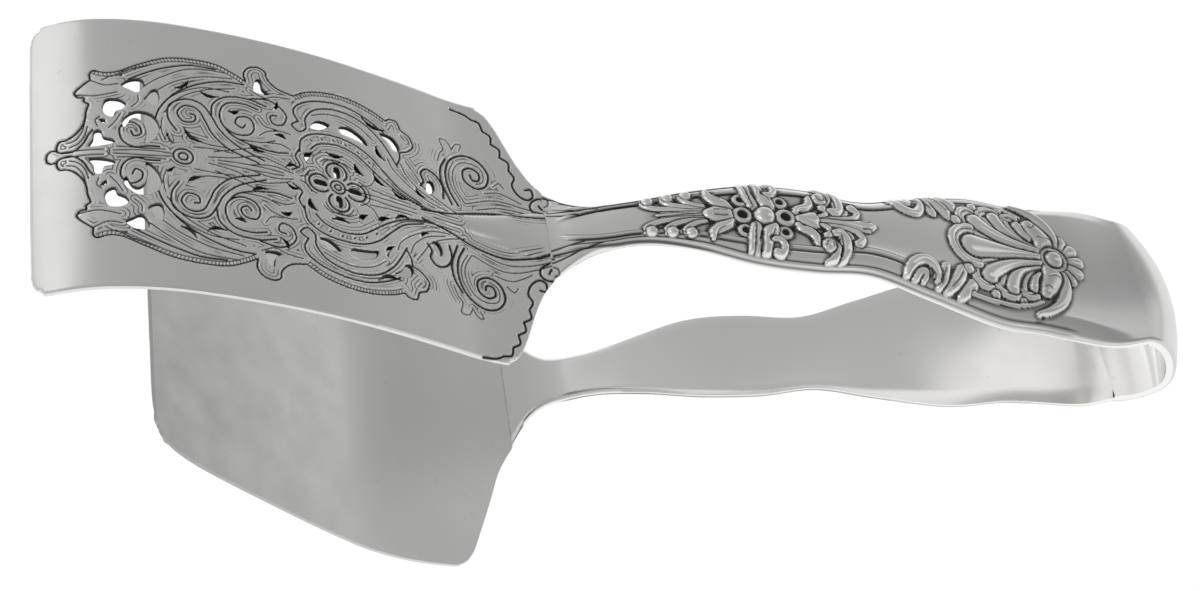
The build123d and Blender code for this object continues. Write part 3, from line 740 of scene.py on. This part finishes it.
def evened(grid, cells):
    """A grid with its heights evened out along the handle, so that no crease crosses it."""
    for _ in range(2):
        held = np.concatenate([np.repeat(grid[:1], cells, 0), grid, np.repeat(grid[-1:], cells, 0)])
        total = np.cumsum(np.concatenate([np.zeros_like(held[:1]), held]), 0)
        grid = (total[2 * cells + 1:] - total[:-2 * cells - 1]) / (2 * cells + 1)
    return grid


def crowned(s, u, w, border, low, gap):
    """The plain body of a handle, as thick as the bow at one end and as the plate at the other."""
    e = w - np.abs(u * w)
    near_bow = smooth_step((s - BOW_END) / 14)
    near_plate = smooth_step((JOINT - s) / 10)
    neck = smooth_step((s - 95) / 8)
    crown = np.sin(np.clip(e / border, 0, 1) * math.pi / 2)
    crown = crown * (1 - neck) + np.sqrt(np.clip(1 - (u * 1.02) ** 2, 0, 1)) * neck
    rise = (LOW_CROWN if low else CROWN) * near_bow * near_plate * np.clip(w / 9, .5, 1)
    base = 1.25 + .55 * (1 - near_bow) + rise * crown - .05 * (1 - near_plate)
    if not low:
        base = base + rib(s, u * w) * (1 - near_plate)
    base = base + NECK_CROWN * neck * near_plate * (1 - u ** 2)
    base = base + (evened(base, int(2.4 / gap)) - base) * smooth_step((110 - s) / 5)
    return base - rounded(e, EDGE_ROUND)


def border_threads(s, y, w, border, low):
    """The two threads along the borders: their heights, and the dark of the valleys beside them."""
    high = np.zeros_like(s)
    valleys = np.zeros_like(s)
    # For each: distance off the edge, half width, height, first place along the arm and dark
    for at, wide, rise, start, shade in ((.45, .4, .2, 19, .8), (border, .46, .42, 42, .85)):
        ends = smooth_step((s - start) / 4) * smooth_step((112 - s) / 5)
        wide = wide * np.clip(border / 2.2, .5, 1)
        off = np.abs(np.where(s > 99, np.minimum(w, half_width(99.0, low)), w) - np.abs(y) - at)
        valley = np.exp(-((off - wide) / .2) ** 2) * ends
        high = high + rise * ends * np.sqrt(np.clip(1 - (off / wide) ** 2, 0, 1)) - .12 * valley
        valleys = np.maximum(valleys, valley * shade)
    return high, valleys


def struck(s, y, e):
    """The relief of a handle, which fades out toward the edges."""
    g = Ground(s, y)
    flower_relief(g)
    leaf_group(g)
    shell_relief(g)
    for _ in range(2):
        g.high[1:-1, 1:-1] = spread(g.high)
    g.high *= smooth_step((e - .3) / .8) * .75
    g.dark *= smooth_step((e - .35) / .5)
    return g


def handle(name, arm, low):
    """A die-struck handle: crowned body, border threads and relief, with plain inner face."""
    gap = 0.2
    s_line = np.linspace(BOW_END, JOINT, int(HANDLE / gap) + 1)
    s, u = np.meshgrid(s_line, np.linspace(-1, 1, int(28 / gap) + 1), indexing="ij")
    w = half_width(s, low)
    y = u * w
    e = w - np.abs(y)
    border = np.clip(w * (.41 - .08 * smooth_step((s - 60) / 10)), .9, 3.1)
    threads, groove = border_threads(s, y, w, border, low)
    g = struck(s, y, e)
    # The threads give way to the relief, which stands in a dark halo of painted shadow, with oxide on the
    # ground of the flower part
    cover = np.clip(g.high / .12, 0, 1)
    shadow_and_oxide_halo = cover.copy()
    for _ in range(14):
        shadow_and_oxide_halo[1:-1, 1:-1] = spread(shadow_and_oxide_halo)
    oxide = smooth_step((s - 58) / 8) * smooth_step((99 - s) / 4) * smooth_step((e - border - .3) / .3) * .3
    shadow_and_oxide_halo = (1 - cover) * (np.clip(shadow_and_oxide_halo * 1.9, 0, .62) + oxide) * smooth_step((e - .9) / .8)
    # From here on groove also holds the painted shadow round the relief
    groove = np.maximum(groove * (1 - cover), shadow_and_oxide_halo)
    body = crowned(s, u, w, border, low, gap) + threads * (1 - cover) + dished(s, u, low)
    body = body + g.high - np.minimum(g.cut, g.high * .8)
    if not low:
        # The strokes of the plate that run on over the neck
        marks = Ground(s, y)
        for points in BOLD + MEDIUM:
            if min(p[0] for p in points) < JOINT and points[-1][1] > 1.5:
                for side in (1, -1):
                    marks.line(smooth(points) * [1, side] + [0, MIDLINE * .5], .3, NECK_MARK)
        body = body - marks.cut
        groove = np.maximum(groove, marks.cut / NECK_MARK)
    # Places lower than what lies round them hold oxide
    soft = body.copy()
    for _ in range(9):
        soft[1:-1, 1:-1] = spread(soft)
    hollow = np.clip((soft - body) / .13, 0, 1)
    dark = np.clip(np.maximum(np.maximum(hollow * .8, groove), g.dark), 0, 1)
    dark[:, [0, -1]] = 0
    top = arm.place(s.ravel(), y.ravel(), body.ravel())
    index = np.arange(s.size).reshape(s.shape)
    # The inner face is coarser across than the struck one
    si, ui = np.meshgrid(s_line, np.linspace(-1, 1, 17), indexing="ij")
    lift = np.where(np.abs(ui) > .999, INNER_EDGE, 0) + dished(si, ui, low)
    if low:
        along = smooth_step((NECK_END - si) / 50) * smooth_step((si - BOW_END) / 16)
        lift = lift + INNER_HOLLOW * (1 - ui ** 2) * along
    bottom = arm.place(si.ravel(), (ui * half_width(si, low)).ravel(), lift.ravel())
    bi = s.size + np.arange(si.size).reshape(si.shape)
    faces = [np.stack(corners(index), 1), np.stack(corners(bi), 1)[:, [0, 3, 2, 1]],
             np.stack([index[:-1, 0], bi[:-1, 0], bi[1:, 0], index[1:, 0]], 1),
             np.stack([index[1:, -1], bi[1:, -1], bi[:-1, -1], index[:-1, -1]], 1)]
    if arm.side < 0:
        faces = [f[:, ::-1] for f in faces]
    # The struck face's dark: oxide, with painted shade round the relief
    patina_and_shade = np.concatenate([dark.ravel(), np.zeros(si.size)])
    made = make_mesh(name, np.concatenate([top, bottom]), faces, patina_and_shade, np.full(len(patina_and_shade), NO_STROKE), 60)
    plain_part = np.ones(sum(len(f) for f in faces), np.int32)
    plain_part[:len(faces[0])] = 0
    made.data.polygons.foreach_set("material_index", plain_part)
    return made


upper_handle = handle("upper_handle_struck", upper, False)
lower_handle = handle("lower_handle_struck", lower, True)


# ---- bow ----
def bow():
    """The plain spring band, with rounded edges, as a closed ring of sections."""
    first = math.degrees(upper.head[0])
    turns = np.radians(np.linspace(90 - first, -90 + first, 73))
    half = BOW_WIDTH / 2
    e = np.concatenate([[0, .12, .3, .55, 1.0, 2.0], np.linspace(3.4, half, 9)])
    line = np.concatenate([e - half, (half - e[:-1])[::-1]])
    outer = np.stack([line, BOW_THICK - rounded(half - np.abs(line), EDGE_ROUND)], 1)
    inner = np.stack([line[::-1], np.where(np.abs(line) > half * .999, INNER_EDGE, 0)], 1)
    section = np.concatenate([outer, inner])
    u = section[:, 0] / half
    open_turn = np.clip(np.cos(turns), 0, 1)[:, None]
    dish = LOW_DISH + (DISH - LOW_DISH) * (1 + np.sin(turns)[:, None]) / 2
    r = BOW_RADIUS + section[:, 1] + (dish + 0.9 * open_turn) * (1 - u ** 2)
    lean = open_turn ** 1.3 * (0.35 + 0.65 * u ** 2)
    upper_half = smooth_step((np.sin(turns)[:, None] + 1.0) / 1.2)
    x = np.cos(turns)[:, None] * r - np.sin(turns)[:, None] * lean
    z = np.sin(turns)[:, None] * r - 1.9 * lean * upper_half
    y = np.broadcast_to(section[:, 0], x.shape)
    points = row(x, y, z).reshape(-1, 3)
    n, m = x.shape
    i = np.arange(n * m).reshape(n, m)
    j = np.roll(i, -1, 1)
    quads = np.stack([k.ravel() for k in (i[:-1], i[1:], j[1:], j[:-1])], 1)[:, ::-1]
    made = make_mesh("spring_bow", points, [quads], np.zeros(n * m), np.full(n * m, NO_STROKE), 50)
    inside_part = np.tile(np.arange(m) >= len(outer), n - 1).astype(np.int32)
    made.data.polygons.foreach_set("material_index", inside_part)
    return made


bow_piece = bow()

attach(face, "upper_arm")
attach(face_tip, "upper_arm")
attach(back, "upper_arm")
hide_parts("upper_blade")
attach(low_face, "lower_arm")
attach(low_back, "lower_arm")
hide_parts("lower_blade")
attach(upper_handle, "upper_arm")
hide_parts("upper_handle")
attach(lower_handle, "lower_arm")
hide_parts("lower_handle")
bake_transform(bow_piece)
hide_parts("bow_spring")


# ---- silver ----
def feed(tree, made, inputs):
    """Gives a shader node's inputs, by name or number, their values or other nodes' outputs."""
    for key, value in inputs.items():
        if isinstance(value, bpy.types.NodeSocket):
            tree.links.new(value, made.inputs[key])
        else:
            made.inputs[key].default_value = value
    return made


def node(tree, kind, inputs=(), **settings):
    """A new shader node, set and fed."""
    made = tree.nodes.new("ShaderNode" + kind)
    for key, value in settings.items():
        setattr(made, key, value)
    return feed(tree, made, dict(inputs))


def pale(tone):
    """Silver's own slightly warm grey."""
    return (tone, tone * .995, tone * .98, 1)


def silver(name, tone, rough, scratch, far_tone=None, fade=(-.03, .02)):
    """Worn silver: uneven polish, fine scratches, and dark oxide in the cuts with painted shade round the
    relief.
    """
    mat = bpy.data.materials.new(name)
    mat.use_nodes = True
    t = mat.node_tree
    place = node(t, "TexCoord").outputs["Object"]

    def noise(scale, detail, stretch=(1, 1, 1)):
        """Cloudy noise of a size."""
        at = node(t, "Mapping", {"Vector": place, "Scale": stretch}).outputs["Vector"]
        return node(t, "TexNoise", {"Vector": at, "Scale": scale, "Detail": detail,
                                    "Roughness": .55}).outputs["Fac"]

    def span(source, low, high, a=.3, b=.7):
        """The source's stretch from a to b spread from low to high."""
        return node(t, "MapRange", {"Value": source, "From Min": a, "From Max": b,
                                    "To Min": low, "To Max": high}).outputs["Result"]

    def mix(share, one, two):
        """Two colours, of which the second has this share."""
        return node(t, "Mix", {0: share, 6: one, 7: two}, data_type="RGBA").outputs[2]

    def add(a, b, kind="ADD"):
        """A sum, or another sum of this kind, held between 0 and 1."""
        return node(t, "Math", {0: a, 1: b}, operation=kind, use_clamp=True).outputs[0]

    def times(*factors):
        """The product of some sources."""
        total = factors[0]
        for factor in factors[1:]:
            total = add(total, factor, "MULTIPLY")
        return total

    # Cloudy polish with small spots, and another tone toward the far end, which on the lower plate is
    # painted shade
    # The mesh's dark: oxide in the cuts and painted shade round the relief
    dark = span(node(t, "Attribute", attribute_name="patina_and_shade").outputs["Fac"], 0.0, 1.0, .12, .85)
    body = mix(noise(45, 4), (tone * .93, tone * .925, tone * .92, 1), pale(tone))
    body = mix(span(noise(700, 1), 1.0, .55, .72, .8), (tone * .8, tone * .79, tone * .77, 1), body)
    if far_tone:
        axes = node(t, "SeparateXYZ", {0: place}).outputs
        body = mix(span(axes["X"], 1.0, 0.0, *fade), body, pale(far_tone))
    # Hatching: waves of the distance off the nearest line, within a reach and in patches
    stroke = node(t, "Attribute", attribute_name="stroke").outputs["Fac"]
    phase = node(t, "Math", {0: stroke, 1: 2 * math.pi / HATCH}, operation="MULTIPLY").outputs[0]
    wave = node(t, "Math", {0: phase}, operation="COSINE").outputs[0]
    hatch = times(span(wave, 0.0, 1.0, .1, .9), span(stroke, 0.0, 1.0, .32, .5),
                  span(stroke, 1.0, 0.0, 1.5, 2.0), span(noise(210, 1), 0.0, 1.0, .44, .56))
    grain = add(noise(1, 2, (260, 5200, 900)), noise(1, 2, (4200, 500, 900)))
    scratches = node(t, "Bump", {"Strength": scratch, "Distance": 0.03 * MM, "Height": grain})
    cuts = node(t, "Bump", {"Strength": .55, "Distance": 0.06 * MM, "Height": hatch,
                            "Normal": scratches.outputs["Normal"]}, invert=True)
    feed(t, t.nodes["Principled BSDF"], {
        "Metallic": 1.0,
        "Base Color": mix(times(hatch, .85), mix(dark, body, (.045, .043, .042, 1)), (.06, .058, .056, 1)),
        "Roughness": add(span(noise(160, 5), rough * .88, rough * 1.12), times(dark, .35)),
        "Normal": cuts.outputs["Normal"]})
    return mat


plate_silver = silver("engraved_silver", .80, .24, .10)
struck_silver = silver("struck_silver", .67, .22, .06, .80, (.058, .070))
plain_silver = silver("plain_silver", .70, .26, .12)
inner_silver = silver("inner_silver", .95, .20, .10, .82)
# Painted shade: the lower plate darkens toward its far end
low_silver = silver("low_plate_silver", .80, .38, .08, .40, (-.08, -.03))
for pieces, mats in (((face, face_tip), [plate_silver]), ((back,), [plain_silver]),
                     ((low_face, low_back), [low_silver]), ((bow_piece,), [plain_silver, inner_silver]),
                     ((upper_handle, lower_handle), [struck_silver, inner_silver])):
    for piece in pieces:
        for mat in mats:
            piece.data.materials.append(mat)

# ---- floor, light and camera ----
scene = bpy.context.scene
floor_mesh = bpy.data.meshes.new("floor")
floor_mesh.from_pydata([(-6, -6, 0), (6, -6, 0), (6, 6, 0), (-6, 6, 0)], [], [(0, 1, 2, 3)])
floor = linked("floor", floor_mesh)
paper = bpy.data.materials.new("paper_white")
paper.use_nodes = True
pt = paper.node_tree
diffuse = feed(pt, pt.nodes["Principled BSDF"], {"Base Color": (.84, .84, .84, 1), "Roughness": .9})
glow = node(pt, "Emission", {"Color": (1, 1, 1, 1), "Strength": 1.06})
# The paper glows by itself where it is seen, directly or in the silver
ray = node(pt, "LightPath").outputs
seen = node(pt, "Math", {0: ray["Is Camera Ray"], 1: ray["Is Glossy Ray"]}, operation="MAXIMUM")
seen = node(pt, "Math", {0: seen.outputs[0], 1: ray["Is Transmission Ray"]}, operation="MAXIMUM")
share = node(pt, "Math", {0: seen.outputs[0], 1: .92}, operation="MULTIPLY")
blend = node(pt, "MixShader", {0: share.outputs[0], 1: diffuse.outputs[0], 2: glow.outputs[0]})
feed(pt, pt.nodes["Material Output"], {"Surface": blend.outputs[0]})
floor_mesh.materials.append(paper)

world = bpy.data.worlds.new("studio")
scene.world = world
world.use_nodes = True
wt = world.node_tree
axes = node(wt, "SeparateXYZ", {0: node(wt, "TexCoord").outputs["Generated"]}).outputs
sky = node(wt, "ValToRGB", {"Fac": axes["Z"]})
sky.color_ramp.interpolation = "EASE"
stops = sky.color_ramp.elements
stops[0].color, stops[1].color = (.90, .90, .90, 1), (.45, .45, .45, 1)
for at, tone in ((.16, .66), (.38, .53), (.7, .48)):
    stops.new(at).color = (tone, tone, tone, 1)
left_bright = node(wt, "MapRange", {"Value": axes["X"], "From Min": -.8, "From Max": .8,
                                    "To Min": 1.3, "To Max": .78})
feed(wt, wt.nodes["Background"], {"Strength": left_bright.outputs["Result"], "Color": sky.outputs["Color"]})


def lamp(name, place, size, power):
    """A softbox turned to the tongs."""
    data = bpy.data.lights.new(name, "AREA")
    data.shape = "RECTANGLE"
    data.size, data.size_y = size
    data.energy = power
    made = linked(name, data)
    made.location = place
    made.rotation_euler = (Vector((-.02, 0, .03)) - Vector(place)).to_track_quat("-Z", "Y").to_euler()


lamp("softbox_back", (-.5, .8, .75), (.5, .5), .35)
lamp("softbox_key", (-.6, -.45, .7), (.16, .16), .3)
lamp("softbox_left", (-.85, -.1, .55), (.35, .8), 0.4)
lamp("softbox_right", (.8, .2, .5), (.35, .8), 0.35)

# The photograph's viewpoint, from the fitted view in the plane of the bow
VIEW_AT = (-216.897, -265.882, 323.881)
VIEW_RIGHT = (.9618, -.1359, .2378)
VIEW_DOWN = (.0430, -.7825, -.6212)
VIEW_IN = (.2704, .6076, -.7467)
FOCAL_PX, WIDE_PX = 2617.1, 1200.0
SHIFT_PX = (.75, 2.9)
BOW_SHIFT = 6.0
SENSOR = 36
ry = np.array([[math.cos(LYING), 0, math.sin(LYING)], [0, 1, 0], [-math.sin(LYING), 0, math.cos(LYING)]])
cam_data = bpy.data.cameras.new("camera")
cam_data.sensor_width = SENSOR
cam_data.sensor_fit = "HORIZONTAL"
cam_data.lens = FOCAL_PX / WIDE_PX * SENSOR
cam_data.shift_x = -SHIFT_PX[0] / WIDE_PX
cam_data.shift_y = SHIFT_PX[1] / WIDE_PX
cam_data.clip_start = .01
camera = linked("camera", cam_data)
right, down, forward = (ry @ np.array(v) for v in (VIEW_RIGHT, VIEW_DOWN, VIEW_IN))
matrix = np.eye(4)
matrix[:3, :3] = np.stack([right, -down, -forward], 1)
matrix[:3, 3] = row(*np.add(VIEW_AT, [BOW_SHIFT, 0, 0]))
camera.matrix_world = Matrix(matrix.tolist())
scene.camera = camera
scene.view_settings.view_transform = "Standard"

bpy.context.view_layer.update()
